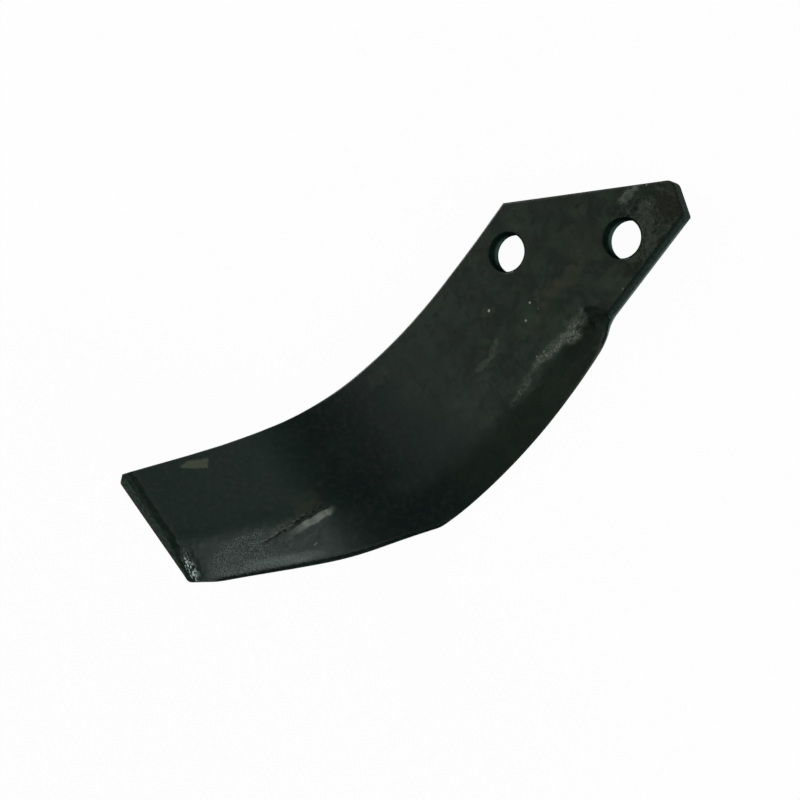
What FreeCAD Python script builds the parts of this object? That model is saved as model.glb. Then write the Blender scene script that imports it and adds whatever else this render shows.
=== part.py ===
import FreeCAD, Part
import math
import os
import Sketcher
from FreeCAD import Placement, Rotation, Vector

os.makedirs("parts", exist_ok=True)

doc = FreeCAD.newDocument("TillerBlade")

# Sizes of the blade, in millimetres and degrees. Slants are measured from the line of the
# bolt holes, and lengths past the bend are those of the straight bar before it is bent.
sizes = [
    # the shank that is bolted to the rotor
    ("hole_spacing", "56"),
    ("bolt_hole_diameter", "17"),
    ("hole_rim_radius", "0.8"),
    ("blade_thickness", "8"),
    ("bar_width", "73"),
    ("bar_slant", "46.9"),
    ("top_edge_margin", "22.2"),
    ("trim_reach", "58.4"),
    ("trim_slant", "16.6"),
    ("trim_corner_radius", "3.5"),
    ("edge_break", "0.7"),
    # the bend that turns the tip out of the plane of the shank
    ("bend_slant", "38.8"),
    ("bend_distance", "112.2"),
    ("bend_radius", "60"),
    ("bend_angle", "57"),
    # the concave edge, from the top corner to the tip
    ("concave_straight", "32.5"),
    ("concave_radius", "272"),
    ("concave_turn", "12.2"),
    # the convex cutting edge, from the shank to the tip
    ("shoulder_distance", "8.4"),
    ("shoulder_radius", "17"),
    ("shoulder_turn", "24.4"),
    ("crown_radius", "35"),
    ("crown_turn", "19.1"),
    ("sweep_radius", "302"),
    ("sweep_turn", "19.9"),
    ("heel_radius", "13"),
    ("heel_turn", "18.2"),
    ("toe_hollow_radius", "131"),
    ("toe_hollow_turn", "10.8"),
    ("toe_straight", "69.4"),
    ("toe_radius", "61"),
    ("toe_turn", "14"),
    # the sheared end of the tip
    ("tip_end_distance", "236.4"),
    ("tip_end_slant", "41"),
    ("tip_corner_radius", "2.5"),
    # the forged bevel on the hollow side
    ("bevel_width_shank", "17"),
    ("bevel_width_tip", "22"),
    ("bevel_runout", "13"),
    ("cutting_edge_thickness", "1.4"),
]
sheet = doc.addObject("Spreadsheet::Sheet", "Sizes")
for row, (alias, number) in enumerate(sizes, 1):
    sheet.set("A%d" % row, alias)
    sheet.set("B%d" % row, number)
    sheet.setAlias("B%d" % row, alias)
doc.recompute()
size = {alias: float(sheet.get(alias)) for alias, number in sizes}


def origin_plane(body, role):
    return [part for part in body.Origin.OriginFeatures if part.Role == role][0]


def bind(sketch, name, constraint, formula):
    """Add a named dimension to a sketch and tie it to the sizes."""
    index = sketch.addConstraint(constraint)
    sketch.renameConstraint(index, name)
    sketch.setExpression("Constraints." + name, formula)


# The bar as rolled and bent: one strip seen edge-on, swept along the bend
blank = doc.addObject("PartDesign::Body", "BentBar")
blank.Label = "bent_bar"
profile = blank.newObject("Sketcher::SketchObject", "BendProfile")
profile.AttachmentSupport = [(origin_plane(blank, "XZ_Plane"), "")]
profile.MapMode = "FlatFace"
profile.AttachmentOffset = Placement(Vector(), Rotation(Vector(0, 1, 0), size["bend_slant"]))
profile.setExpression(".AttachmentOffset.Rotation.Angle", "Sizes.bend_slant")

thick = size["blade_thickness"]
inner_radius = size["bend_radius"]
bend_turn = math.radians(size["bend_angle"])
bend_start = -size["bend_distance"]
axis_point = Vector(bend_start, thick + inner_radius, 0)
tip_way = Vector(-math.cos(bend_turn), math.sin(bend_turn), 0)
tip_normal = Vector(math.sin(bend_turn), math.cos(bend_turn), 0)
shank_reach = size["trim_reach"] + size["top_edge_margin"]
tip_reach = size["tip_end_distance"] - size["bend_distance"]
bend_end_outer = axis_point - tip_normal * (inner_radius + thick)
bend_end_inner = axis_point - tip_normal * inner_radius
start_angle = 1.5 * math.pi - bend_turn
up_axis = Vector(0, 0, 1)
profile.addGeometry([
    Part.LineSegment(Vector(shank_reach, 0, 0), Vector(bend_start, 0, 0)),
    Part.ArcOfCircle(Part.Circle(axis_point, up_axis, inner_radius + thick), start_angle, 1.5 * math.pi),
    Part.LineSegment(bend_end_outer, bend_end_outer + tip_way * tip_reach),
    Part.LineSegment(bend_end_outer + tip_way * tip_reach, bend_end_inner + tip_way * tip_reach),
    Part.LineSegment(bend_end_inner + tip_way * tip_reach, bend_end_inner),
    Part.ArcOfCircle(Part.Circle(axis_point, up_axis, inner_radius), start_angle, 1.5 * math.pi),
    Part.LineSegment(Vector(bend_start, thick, 0), Vector(shank_reach, thick, 0)),
    Part.LineSegment(Vector(shank_reach, thick, 0), Vector(shank_reach, 0, 0)),
])
profile.addConstraint([
    Sketcher.Constraint("Tangent", 0, 2, 1, 2),
    Sketcher.Constraint("Tangent", 1, 1, 2, 1),
    Sketcher.Constraint("Coincident", 2, 2, 3, 1),
    Sketcher.Constraint("Coincident", 3, 2, 4, 1),
    Sketcher.Constraint("Tangent", 4, 2, 5, 1),
    Sketcher.Constraint("Tangent", 5, 2, 6, 1),
    Sketcher.Constraint("Coincident", 6, 2, 7, 1),
    Sketcher.Constraint("Coincident", 7, 2, 0, 1),
    Sketcher.Constraint("Coincident", 5, 3, 1, 3),
    Sketcher.Constraint("Horizontal", 0),
    Sketcher.Constraint("Horizontal", 6),
    Sketcher.Constraint("Vertical", 7),
    Sketcher.Constraint("Perpendicular", 2, 3),
    Sketcher.Constraint("Parallel", 2, 4),
    Sketcher.Constraint("PointOnObject", 0, 1, -1),
])
bind(profile, "thickness", Sketcher.Constraint("DistanceY", 7, 2, 7, 1, thick), "Sizes.blade_thickness")
bind(profile, "bend_inside", Sketcher.Constraint("Radius", 5, inner_radius), "Sizes.bend_radius")
bind(profile, "bend_start", Sketcher.Constraint("DistanceX", 0, 2, -1, 1, -bend_start), "Sizes.bend_distance")
bind(profile, "shank_reach", Sketcher.Constraint("DistanceX", -1, 1, 0, 1, shank_reach),
     "Sizes.trim_reach + Sizes.top_edge_margin")
bind(profile, "tip_reach", Sketcher.Constraint("Distance", 2, 1, 2, 2, tip_reach),
     "Sizes.tip_end_distance - Sizes.bend_distance")
bind(profile, "turned_up", Sketcher.Constraint("Angle", 5, bend_turn), "Sizes.bend_angle")
strip = blank.newObject("PartDesign::Pad", "Strip")
strip.Profile = profile
strip.SideType = "Symmetric"
strip.setExpression("Length", "2 * Sizes.bar_width")

# The end of the shank is sheared off: a straight top edge along the hole line, a rounded
# corner and a slanting trim
far_side = 2 * size["bar_width"]
trim_turn = math.radians(size["trim_slant"])
trim_down = Vector(math.sin(trim_turn), -math.cos(trim_turn), 0)
trim_foot = Vector(size["trim_reach"], 0, 0)
corner = trim_foot - trim_down * (size["top_edge_margin"] / math.cos(trim_turn))
corner_setback = size["trim_corner_radius"] * math.tan((math.pi / 2 - trim_turn) / 2)
corner_centre = corner + Vector(-corner_setback, -size["trim_corner_radius"], 0)
shear = blank.newObject("Sketcher::SketchObject", "EndShear")
shear.AttachmentSupport = [(origin_plane(blank, "XY_Plane"), "")]
shear.MapMode = "FlatFace"
shear.addGeometry([
    Part.LineSegment(Vector(-far_side, size["top_edge_margin"], 0), corner + Vector(-corner_setback, 0, 0)),
    Part.ArcOfCircle(Part.Circle(corner_centre, up_axis, size["trim_corner_radius"]), trim_turn, math.pi / 2),
    Part.LineSegment(corner + trim_down * corner_setback, trim_foot),
    Part.LineSegment(trim_foot, Vector(far_side, 0, 0)),
    Part.LineSegment(Vector(far_side, 0, 0), Vector(far_side, far_side, 0)),
    Part.LineSegment(Vector(far_side, far_side, 0), Vector(-far_side, far_side, 0)),
    Part.LineSegment(Vector(-far_side, far_side, 0), Vector(-far_side, size["top_edge_margin"], 0)),
])
shear.addConstraint([
    Sketcher.Constraint("Tangent", 0, 2, 1, 2),
    Sketcher.Constraint("Tangent", 1, 1, 2, 1),
    Sketcher.Constraint("Coincident", 2, 2, 3, 1),
    Sketcher.Constraint("Coincident", 3, 2, 4, 1),
    Sketcher.Constraint("Coincident", 4, 2, 5, 1),
    Sketcher.Constraint("Coincident", 5, 2, 6, 1),
    Sketcher.Constraint("Coincident", 6, 2, 0, 1),
    Sketcher.Constraint("Horizontal", 0),
    Sketcher.Constraint("Horizontal", 3),
    Sketcher.Constraint("Vertical", 4),
    Sketcher.Constraint("Vertical", 6),
    Sketcher.Constraint("PointOnObject", 2, 2, -1),
    Sketcher.Constraint("Symmetric", 5, 2, 5, 1, -2),
])
bind(shear, "top_edge", Sketcher.Constraint("DistanceY", -1, 1, 0, 1, size["top_edge_margin"]),
     "Sizes.top_edge_margin")
bind(shear, "trim_foot", Sketcher.Constraint("DistanceX", -1, 1, 2, 2, size["trim_reach"]), "Sizes.trim_reach")
bind(shear, "trim_corner", Sketcher.Constraint("Radius", 1, size["trim_corner_radius"]),
     "Sizes.trim_corner_radius")
bind(shear, "trim_slant", Sketcher.Constraint("Angle", 2, trim_turn - math.pi / 2), "Sizes.trim_slant - 90")
bind(shear, "past_trim", Sketcher.Constraint("DistanceX", -1, 1, 4, 1, far_side), "2 * Sizes.bar_width")
bind(shear, "past_top", Sketcher.Constraint("DistanceY", -1, 1, 4, 2, far_side), "2 * Sizes.bar_width")
sheared = blank.newObject("PartDesign::Pocket", "ShearedEnd")
sheared.Profile = shear
sheared.Type = "ThroughAll"
sheared.Reversed = True

# Two round bolt holes on one line, with their rims drawn in a little by the punch
holes = blank.newObject("Sketcher::SketchObject", "BoltHoles")
holes.AttachmentSupport = [(origin_plane(blank, "XY_Plane"), "")]
holes.MapMode = "FlatFace"
for side in (-1, 1):
    place = Vector(side * size["hole_spacing"] / 2, 0, 0)
    holes.addGeometry(Part.Circle(place, up_axis, size["bolt_hole_diameter"] / 2))
holes.addConstraint([
    Sketcher.Constraint("Symmetric", 0, 3, 1, 3, -1, 1),
    Sketcher.Constraint("PointOnObject", 1, 3, -1),
    Sketcher.Constraint("Equal", 0, 1),
])
bind(holes, "spacing", Sketcher.Constraint("DistanceX", 0, 3, 1, 3, size["hole_spacing"]), "Sizes.hole_spacing")
bind(holes, "bore", Sketcher.Constraint("Diameter", 1, size["bolt_hole_diameter"]), "Sizes.bolt_hole_diameter")
punched = blank.newObject("PartDesign::Pocket", "PunchedHoles")
punched.Profile = holes
punched.Type = "ThroughAll"
punched.Reversed = True
doc.recompute()
rims = []
for number, edge in enumerate(punched.Shape.Edges, 1):
    at_bore = isinstance(edge.Curve, Part.Circle) and abs(edge.Curve.Radius * 2 - size["bolt_hole_diameter"]) < 1e-6
    if at_bore and abs(edge.CenterOfMass.z - thick) < 1e-6:
        rims.append("Edge%d" % number)
drawn = blank.newObject("PartDesign::Fillet", "DrawnRims")
drawn.Base = (punched, rims)
drawn.setExpression("Radius", "Sizes.hole_rim_radius")
doc.recompute()
sheared_edges = []
for number, edge in enumerate(drawn.Shape.Edges, 1):
    middle = edge.CenterOfMass
    on_face = min(abs(middle.z), abs(middle.z - thick)) < 1e-6 and abs(edge.BoundBox.ZLength) < 1e-6
    on_top = abs(middle.y - size["top_edge_margin"]) < 1e-6
    on_corner = isinstance(edge.Curve, Part.Circle) and abs(edge.Curve.Radius - size["trim_corner_radius"]) < 1e-6
    on_trim = abs((middle - trim_foot).dot(Vector(trim_down.y, -trim_down.x, 0))) < 1e-6
    if on_face and (on_top or on_corner or on_trim):
        sheared_edges.append("Edge%d" % number)
broken = blank.newObject("PartDesign::Chamfer", "BrokenEdges")
broken.Base = (drawn, sheared_edges)
broken.setExpression("Size", "Sizes.edge_break")
doc.recompute()
# The hollow face is followed from here on by its place on the bar before bending
def direction(heading):
    return Vector(math.cos(math.radians(heading)), math.sin(math.radians(heading)), 0)


along = direction(180 + size["bend_slant"])
across = direction(270 + size["bend_slant"])
bar_way = direction(180 + size["bar_slant"])
bar_side = direction(270 + size["bar_slant"])
bar_heading = 180 + size["bar_slant"]


def bent(flat, depth):
    """The place of a point of the bent bar: flat is where it lies on the hollow face before
    bending, and depth is how far it lies under that face."""
    run = flat.dot(along) - size["bend_distance"]
    turn = min(max(run / inner_radius, 0), bend_turn)
    rest = run - turn * inner_radius
    radius = inner_radius + depth
    forward = size["bend_distance"] + radius * math.sin(turn) + rest * math.cos(turn)
    height = thick + inner_radius - radius * math.cos(turn) + rest * math.sin(turn)
    return along * forward + across * flat.dot(across) + up_axis * height


def walked(start, heading, steps):
    """Stations along straights and arcs that join smoothly, each a point and the way gone to
    it. A step is a length, a radius and a turn in degrees, to the left where positive."""
    stations = [(start, 0)]
    for length, radius, turn in steps:
        if turn:
            length = radius * abs(math.radians(turn))
        count = max(4, math.ceil(length / station_pitch))
        start, gone = stations[-1]
        for i in range(1, count + 1):
            if turn:
                now = heading + turn * i / count
                outward = 90 if turn < 0 else -90
                centre = start - direction(heading + outward) * radius
                point = centre + direction(now + outward) * radius
            else:
                point = start + direction(heading) * (length * i / count)
            stations.append((point, gone + length * i / count))
        heading += turn
    return stations


def swept_cutter(name, ways, sections):
    """A solid drawn through flat sections of as many corners each: every corner runs along
    one smooth curve, and straight lines join the curves."""
    rails = []
    for corner_places in zip(*sections):
        rail = Part.BSplineCurve()
        rail.interpolate(Points=list(corner_places), Parameters=ways)
        rails.append(rail.toShape())
    faces = [Part.makeRuledSurface(rail, after) for rail, after in zip(rails, rails[1:] + rails[:1])]
    faces += [Part.Face(Part.makePolygon(section + section[:1])) for section in (sections[0], sections[-1])]
    shell = Part.Shell(faces)
    shell.sewShape()
    cutter = doc.addObject("Part::Feature", name)
    cutter.Shape = Part.Solid(shell)
    return cutter


station_pitch = 5
clearance = 3
past_blank = 2 * size["bar_width"]


def rim_section(flat, outward):
    """A section across the rim: from the blade, with both its edges broken, out past the
    side of the blank."""
    near = flat - outward * (size["edge_break"] + clearance)
    beyond = flat + outward * past_blank
    return [
        bent(near, -clearance),
        bent(flat, size["edge_break"]),
        bent(flat, thick - size["edge_break"]),
        bent(near, thick + clearance),
        bent(beyond, thick + clearance),
        bent(beyond, -clearance),
    ]


# Concave edge: straight down from the top corner, a gentle curve, then straight to the tip
side_distance = size["bar_width"] / 2
top_corner = bar_side * -side_distance
top_corner += bar_way * ((size["top_edge_margin"] - top_corner.y) / bar_way.y)
concave_rim = walked(top_corner - bar_way * clearance, bar_heading, [
    (size["concave_straight"] + clearance, 0, 0),
    (0, size["concave_radius"], -size["concave_turn"]),
    (size["tip_end_distance"], 0, 0),
])
concave_cutter = swept_cutter("ConcaveEdge", [way for flat, way in concave_rim],
                              [rim_section(flat, -across) for flat, way in concave_rim])

# Convex cutting edge: the straight side of the shank, the forged shoulder that stands proud
# of it, the long sweep, the heel at the bend and the nearly straight toe
shank_side = bar_side * side_distance - bar_way * past_blank
convex_steps = [
    (past_blank + size["shoulder_distance"], 0, 0),
    (0, size["shoulder_radius"], size["shoulder_turn"]),
    (0, size["crown_radius"], -size["crown_turn"]),
    (0, size["sweep_radius"], -size["sweep_turn"]),
    (0, size["heel_radius"], -size["heel_turn"]),
    (0, size["toe_hollow_radius"], size["toe_hollow_turn"]),
    (size["toe_straight"], 0, 0),
    (0, size["toe_radius"], -size["toe_turn"]),
    (size["toe_radius"], 0, 0),
]
convex_rim = walked(shank_side, bar_heading, convex_steps)
convex_cutter = swept_cutter("ConvexEdge", [way for flat, way in convex_rim],
                             [rim_section(flat, across) for flat, way in convex_rim])

# The tip is sheared straight across and its lower corner is rounded
tip_face = direction(180 + size["tip_end_slant"])
tip_line = direction(270 + size["tip_end_slant"])
tip_middle = tip_face * size["tip_end_distance"]
tip_sections = [rim_section(tip_middle + tip_line * (side * past_blank), tip_face) for side in (-1, 1)]
tip_cutter = swept_cutter("TipEnd", [0, 1], tip_sections)

toe_end = convex_rim[-1][0]
toe_way = direction(bar_heading + sum(turn for length, radius, turn in convex_steps))
tip_point = toe_end - toe_way * ((toe_end - tip_middle).dot(tip_face) / toe_way.dot(tip_face))
corner_turn = math.acos(-toe_way.dot(tip_line))
setback = size["tip_corner_radius"] * math.tan(corner_turn / 2)
outward = (tip_line + toe_way).normalize()
arc_depth = size["tip_corner_radius"] * (1 / math.cos(corner_turn / 2) - 1)
start = bent(tip_point - toe_way * setback, -clearance)
through = bent(tip_point - outward * arc_depth, -clearance)
end = bent(tip_point - tip_line * setback, -clearance)
outside = bent(tip_point + outward * setback, -clearance)
corner_wire = Part.Wire([
    Part.Arc(start, through, end).toShape(),
    Part.makeLine(end, outside),
    Part.makeLine(outside, start),
])
corner_cutter = doc.addObject("Part::Feature", "TipCorner")
through_blade = bent(tip_point, thick + clearance) - bent(tip_point, -clearance)
corner_cutter.Shape = Part.Face(corner_wire).extrude(through_blade)

# The forged bevel on the hollow side thins the blade to its cutting edge. It starts just past
# the shank with a rounded run-out and widens towards the tip.
shoulder_way = past_blank + size["shoulder_distance"]
full_drop = thick - size["cutting_edge_thickness"]
over = 0.3


def bevel_section(flat, way):
    past_start = way - shoulder_way
    share = min(max(past_start / (convex_rim[-1][1] - shoulder_way), 0), 1)
    width = size["bevel_width_shank"] + share * (size["bevel_width_tip"] - size["bevel_width_shank"])
    lift = full_drop * max(1 - past_start / size["bevel_runout"], 0) ** 2
    inside = bent(flat - across * (width * (1 + over)), -full_drop * over - lift)
    outside = bent(flat + across * (width * over), full_drop * (1 + over) - lift)
    above = bent(flat + across * (width * over), -full_drop * 2 - lift)
    return [inside, outside, above]


bevel_rim = [(flat, way) for flat, way in convex_rim if way > shoulder_way - station_pitch]
bevel_cutter = swept_cutter("ForgedBevel", [way for flat, way in bevel_rim],
                            [bevel_section(flat, way) for flat, way in bevel_rim])

base = blank
for name, cutter in (("Hollowed", concave_cutter), ("Swept", convex_cutter), ("Cropped", tip_cutter),
                     ("Rounded", corner_cutter), ("Bevelled", bevel_cutter)):
    cut = doc.addObject("Part::Cut", name)
    cut.Base = base
    cut.Tool = cutter
    base = cut
blade = base
blade.Label = "blade"
doc.recompute()

for item in doc.Objects:
    if "Invalid" in item.State or "Error" in item.State:
        raise RuntimeError("%s failed" % item.Name)
for sketch in (profile, shear, holes):
    if not sketch.FullyConstrained:
        raise RuntimeError("%s isn't fully constrained" % sketch.Name)
if blade.Shape.isNull() or not blade.Shape.isValid() or len(blade.Shape.Solids) != 1:
    raise RuntimeError("the blade isn't one sound solid")
blade.Shape.exportStep("parts/blade.step")
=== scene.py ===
import bpy, math
import numpy as np
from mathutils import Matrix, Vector
from mathutils.geometry import delaunay_2d_cdt


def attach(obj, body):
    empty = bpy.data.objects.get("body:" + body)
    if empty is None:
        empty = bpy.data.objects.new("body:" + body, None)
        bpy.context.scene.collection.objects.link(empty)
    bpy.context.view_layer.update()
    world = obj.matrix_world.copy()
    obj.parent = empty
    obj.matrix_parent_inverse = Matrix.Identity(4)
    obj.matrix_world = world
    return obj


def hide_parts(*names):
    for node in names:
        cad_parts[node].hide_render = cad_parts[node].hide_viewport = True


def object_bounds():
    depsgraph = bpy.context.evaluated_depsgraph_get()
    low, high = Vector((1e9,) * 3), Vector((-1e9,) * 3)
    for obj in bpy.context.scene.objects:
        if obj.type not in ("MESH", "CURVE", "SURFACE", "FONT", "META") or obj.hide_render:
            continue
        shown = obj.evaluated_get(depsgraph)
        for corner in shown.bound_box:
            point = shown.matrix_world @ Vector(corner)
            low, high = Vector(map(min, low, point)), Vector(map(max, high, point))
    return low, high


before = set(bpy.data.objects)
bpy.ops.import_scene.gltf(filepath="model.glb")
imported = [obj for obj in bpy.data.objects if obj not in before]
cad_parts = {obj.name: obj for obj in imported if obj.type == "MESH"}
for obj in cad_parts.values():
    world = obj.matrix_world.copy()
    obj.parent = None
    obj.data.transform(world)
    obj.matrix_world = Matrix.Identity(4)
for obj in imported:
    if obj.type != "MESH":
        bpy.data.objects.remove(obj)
cad_box = [list(corner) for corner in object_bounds()]

# Sizes in mm of the blade laid flat, with the origin midway between its bolt holes. In formulas, u is
# the way along the blade, v the way across it and w the way in from its convex edge.
THICK = 8.0
HALF_WIDE = 36.5
HOLE_RADIUS = 8.5
HOLES = [(-28.0, 0.0), (28.0, 0.0)]

# The bevel's depth at the convex edge, and the least thickness that any relief leaves
FULL_DROP = 6.6
THINNEST = 1.2

# Headings in degrees: of the bar's sides by the shank, of the blade's run and of its cut end
BAR_HEADING, RUN_HEADING, TIP_HEADING = 226.9, 218.8, 221

# The top edge, the trimmed side where it crosses the line of the holes and its lean in degrees, the
# way to the cut end, and how far before the origin the convex side is drawn from
TOP_EDGE = 22.2
TRIM_EDGE, TRIM_LEAN = 58.4, 16.6
TIP_REACH = 235.95
CONVEX_BEFORE = 60

# The bend: where it starts along the blade, its inner radius, its angle, how gently it sets in
BEND_START, BEND_RADIUS, BEND_TURN = 112.2, 60.0, math.radians(57)
BEND_EASE = 11.0

# Rounded edges, and how finely the skin is divided
EDGE_ROUND = 0.8
HOLE_FRONT_ROUND, HOLE_BACK_ROUND = 1.0, 0.4
ROUND_STEPS = (0, 22, 45, 68, 90)
PITCH = 0.8
BACK_PITCH = 2.0
HOLE_POINTS = 72
WALL_ROWS, BORE_ROWS = 4, 5

# How far inside the solids' box the skin stays, in metres
INSIDE_BOX = 1e-5


def way(heading):
    """The unit vector at a heading in degrees, counted from +X towards +Y."""
    return np.array([math.cos(math.radians(heading)), math.sin(math.radians(heading))])


ALONG, ACROSS = way(RUN_HEADING), way(RUN_HEADING + 90)
BAR_WAY, BAR_SIDE = way(BAR_HEADING), way(BAR_HEADING + 90)
TIP_FACE, TIP_LINE = way(TIP_HEADING), way(TIP_HEADING + 90)
WEST = np.array([-1.0, 0.0])


# The outline of the flat blade

def walked(start, heading, steps):
    """Points along straights and arcs that join smoothly: a step is length, radius, left turn."""
    points = [np.array(start, float)]
    for length, radius, turn in steps:
        if turn:
            length = radius * abs(math.radians(turn))
        count = max(3, math.ceil(length / PITCH))
        begin = points[-1]
        out = 90 if turn < 0 else -90
        centre = begin - way(heading + out) * radius
        for i in range(1, count + 1):
            if turn:
                points.append(centre + way(heading + turn * i / count + out) * radius)
            else:
                points.append(begin + way(heading) * (length * i / count))
        heading += turn
    return np.array(points), heading


def meet(p, d, q, e):
    """Where the line through p along d meets the line through q along e."""
    return p + d * np.linalg.solve(np.array([d, -e]).T, q - p)[0]


def corner_arc(corner, into, out, radius):
    """Points of a rounded corner between the way into it and the way out of it."""
    turn = math.acos(max(-1, min(1, float(into @ out))))
    side = 1 if into[0] * out[1] - into[1] * out[0] > 0 else -1
    start = corner - into * radius * math.tan(turn / 2)
    centre = start + np.array([-into[1], into[0]]) * side * radius
    arm = start - centre
    count = max(4, math.ceil(math.degrees(turn) / 15))
    points = []
    for i in range(count + 1):
        a = side * turn * i / count
        points.append(centre + np.array([arm[0] * math.cos(a) - arm[1] * math.sin(a),
                                         arm[0] * math.sin(a) + arm[1] * math.cos(a)]))
    return points


def between(points, start, end):
    """The part of a run of points that lies from start up to end, both given as points on it."""
    chord = np.diff(points, axis=0)
    gone = np.concatenate([[0], np.cumsum(np.hypot(chord[:, 0], chord[:, 1]))])

    def place_of(p):
        """How far along the run its nearest place to p lies."""
        i = int(np.argmin(np.hypot(*(points - p).T)))
        best = None
        for j in (i - 1, i):
            if 0 <= j < len(chord):
                t = float(np.clip((p - points[j]) @ chord[j] / (chord[j] @ chord[j]), 0, 1))
                far = np.hypot(*(points[j] + chord[j] * t - p))
                if best is None or far < best[0]:
                    best = (far, gone[j] + t * (gone[j + 1] - gone[j]))
        return best[1]

    return [start] + list(points[(gone > place_of(start) + 0.3) & (gone < place_of(end) - 0.3)])


def straight(start, end):
    """Points evenly spaced between start and end, without either."""
    count = max(1, math.ceil(np.hypot(*(end - start)) / PITCH))
    return [start + (end - start) * i / count for i in range(1, count)]


top_corner = BAR_SIDE * -HALF_WIDE
top_corner = top_corner + BAR_WAY * ((TOP_EDGE - top_corner[1]) / BAR_WAY[1])
concave, concave_heading = walked(top_corner, BAR_HEADING, [(32.5, 0, 0), (0, 272, -12.2), (236.4, 0, 0)])
convex, convex_heading = walked(
    BAR_SIDE * HALF_WIDE - BAR_WAY * CONVEX_BEFORE, BAR_HEADING,
    [(68.4, 0, 0), (0, 17, 24.4), (0, 35, -19.1), (0, 302, -19.9), (0, 13, -18.2),
     (0, 131, 10.8), (69.4, 0, 0), (0, 61, -14), (61, 0, 0)])
trim_point = np.array([TRIM_EDGE, 0.0])
trim_way = np.array([-math.tan(math.radians(TRIM_LEAN)), 1.0])
trim_way /= np.linalg.norm(trim_way)
tip_middle = TIP_FACE * TIP_REACH
tip_up_corner = meet(concave[-1], way(concave_heading), tip_middle, TIP_LINE)
tip_low_corner = meet(convex[-1], way(convex_heading), tip_middle, TIP_LINE)
side_corner = meet(BAR_SIDE * HALF_WIDE, BAR_WAY, trim_point, trim_way)
trim_corner = meet(np.array([0, TOP_EDGE]), -WEST, trim_point, trim_way)
top = corner_arc(top_corner, WEST, BAR_WAY, 0.9)
tip_up = corner_arc(tip_up_corner, way(concave_heading), TIP_LINE, 0.4)
tip_low = corner_arc(tip_low_corner, TIP_LINE, -way(convex_heading), 2.5)
side = corner_arc(side_corner, -BAR_WAY, trim_way, 1.0)
trim = corner_arc(trim_corner, trim_way, WEST, 3.5)
outline = np.array(
    top[:-1] + between(concave, top[-1], tip_up[0]) + tip_up + straight(tip_up[-1], tip_low[0])
    + tip_low[:-1] + between(convex[::-1], tip_low[-1], side[0]) + side + straight(side[-1], trim[0])
    + trim + straight(trim[-1], top[0]))

# The forged sides wander a little from the drawn line: mm outside it, by the way along the blade
WANDER = ((-1, concave, (-40, 8, 30, 50, 75, 102, 140, 164, 188, 205, 236),
           (0, 0.15, 0.1, 0.5, 0.15, -0.2, 0.6, 0.8, -0.1, 0, 0.8)),
          (1, convex, (-40, 44, 60, 110, 140, 190, 210), (0.4, 0.2, 0.3, 0.3, 0.2, 0.2, -0.1)))
along, across = outline @ ALONG, outline @ ACROSS
for outward, points, stations, moves in WANDER:
    ordered = points[np.argsort(points @ ALONG)]
    off_line = np.abs(across - np.interp(along, ordered @ ALONG, ordered @ ACROSS))
    near = 1 - np.clip((off_line - 1) / 9, 0, 1)
    outline = outline + (outward * near * np.interp(along, stations, moves))[:, None] * ACROSS


def inward(loop, solid_left):
    """For a closed run of points, the shift per mm of inset that keeps its sides parallel."""
    before = loop - np.roll(loop, 1, axis=0)
    after = np.roll(loop, -1, axis=0) - loop
    before /= np.linalg.norm(before, axis=1)[:, None]
    after /= np.linalg.norm(after, axis=1)[:, None]
    turn = 1 if solid_left else -1
    out_of_before = np.c_[-before[:, 1], before[:, 0]] * turn
    middle = out_of_before + np.c_[-after[:, 1], after[:, 0]] * turn
    return middle / np.maximum((middle * out_of_before).sum(1), 0.3)[:, None]


# The curves that the relief and the marks of the paint are made of

def noise(x, y, size, seed):
    """Smooth repeatable noise from -1 to 1 with lumps of about the given size in mm."""
    table = np.random.RandomState(seed).uniform(-1, 1, (128, 128))
    x, y = x / size + 40.37, y / size + 40.73
    i, j = np.floor(x).astype(int), np.floor(y).astype(int)
    a, b = x - i, y - j
    a, b = a * a * a * (a * (a * 6 - 15) + 10), b * b * b * (b * (b * 6 - 15) + 10)
    i, j, k, m = i % 128, j % 128, (i + 1) % 128, (j + 1) % 128
    return (table[i, j] * (1 - a) * (1 - b) + table[k, j] * a * (1 - b)
            + table[i, m] * (1 - a) * b + table[k, m] * a * b)


def step(x, low, high):
    """0 below low and 1 above high, with a smooth rise between them."""
    t = np.clip((x - low) / (high - low), 0, 1)
    return t * t * (3 - 2 * t)


def span(x, start, full, fade, end):
    """1 from full to fade, rising smoothly from start and falling smoothly to end."""
    return step(x, start, full) * (1 - step(x, fade, end))


def hump(x, middle, half):
    """A smooth hump, 1 at its middle."""
    return np.exp(-((x - middle) / half) ** 2)


def smooth_max(a, b, soft):
    """The larger of two, blended where they are within about soft of each other."""
    h = np.clip(0.5 + 0.5 * (a - b) / soft, 0, 1)
    return b * (1 - h) + a * h + soft * h * (1 - h)


# The bevel's width, and how softly it leaves the flat face, by the way along the blade
BEVEL_U = (0.4, 2.4, 4.2, 6.8, 11, 18.8, 28, 48, 62, 75, 90, 110, 130, 150, 175, 200, 216, 240)
BEVEL_WIDE = (0.1, 0.8, 3.6, 9, 14.6, 17, 17.6, 17.7, 16.9, 17.2, 19.5, 22, 23.5, 24.5, 24.5, 24, 21.8,
              20.6)
SOFT_U = (0.5, 12, 28, 50, 64, 80, 150, 163, 200, 215, 240)
SOFT = (1.2, 2.2, 1.6, 1.2, 1.6, 2.8, 2.8, 1.3, 1.8, 1.8, 1.4)
rim_u, rim_v = convex @ ALONG, convex @ ACROSS
order = np.argsort(rim_u)
rim_u, rim_v = rim_u[order], rim_v[order]


def to_run(x, y):
    """Gives u, v and w of points of the flat blade, and the width of the bevel there."""
    u = x * ALONG[0] + y * ALONG[1]
    v = x * ACROSS[0] + y * ACROSS[1]
    return u, v, np.interp(u, rim_u, rim_v) - v, np.interp(u, BEVEL_U, BEVEL_WIDE)


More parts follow.
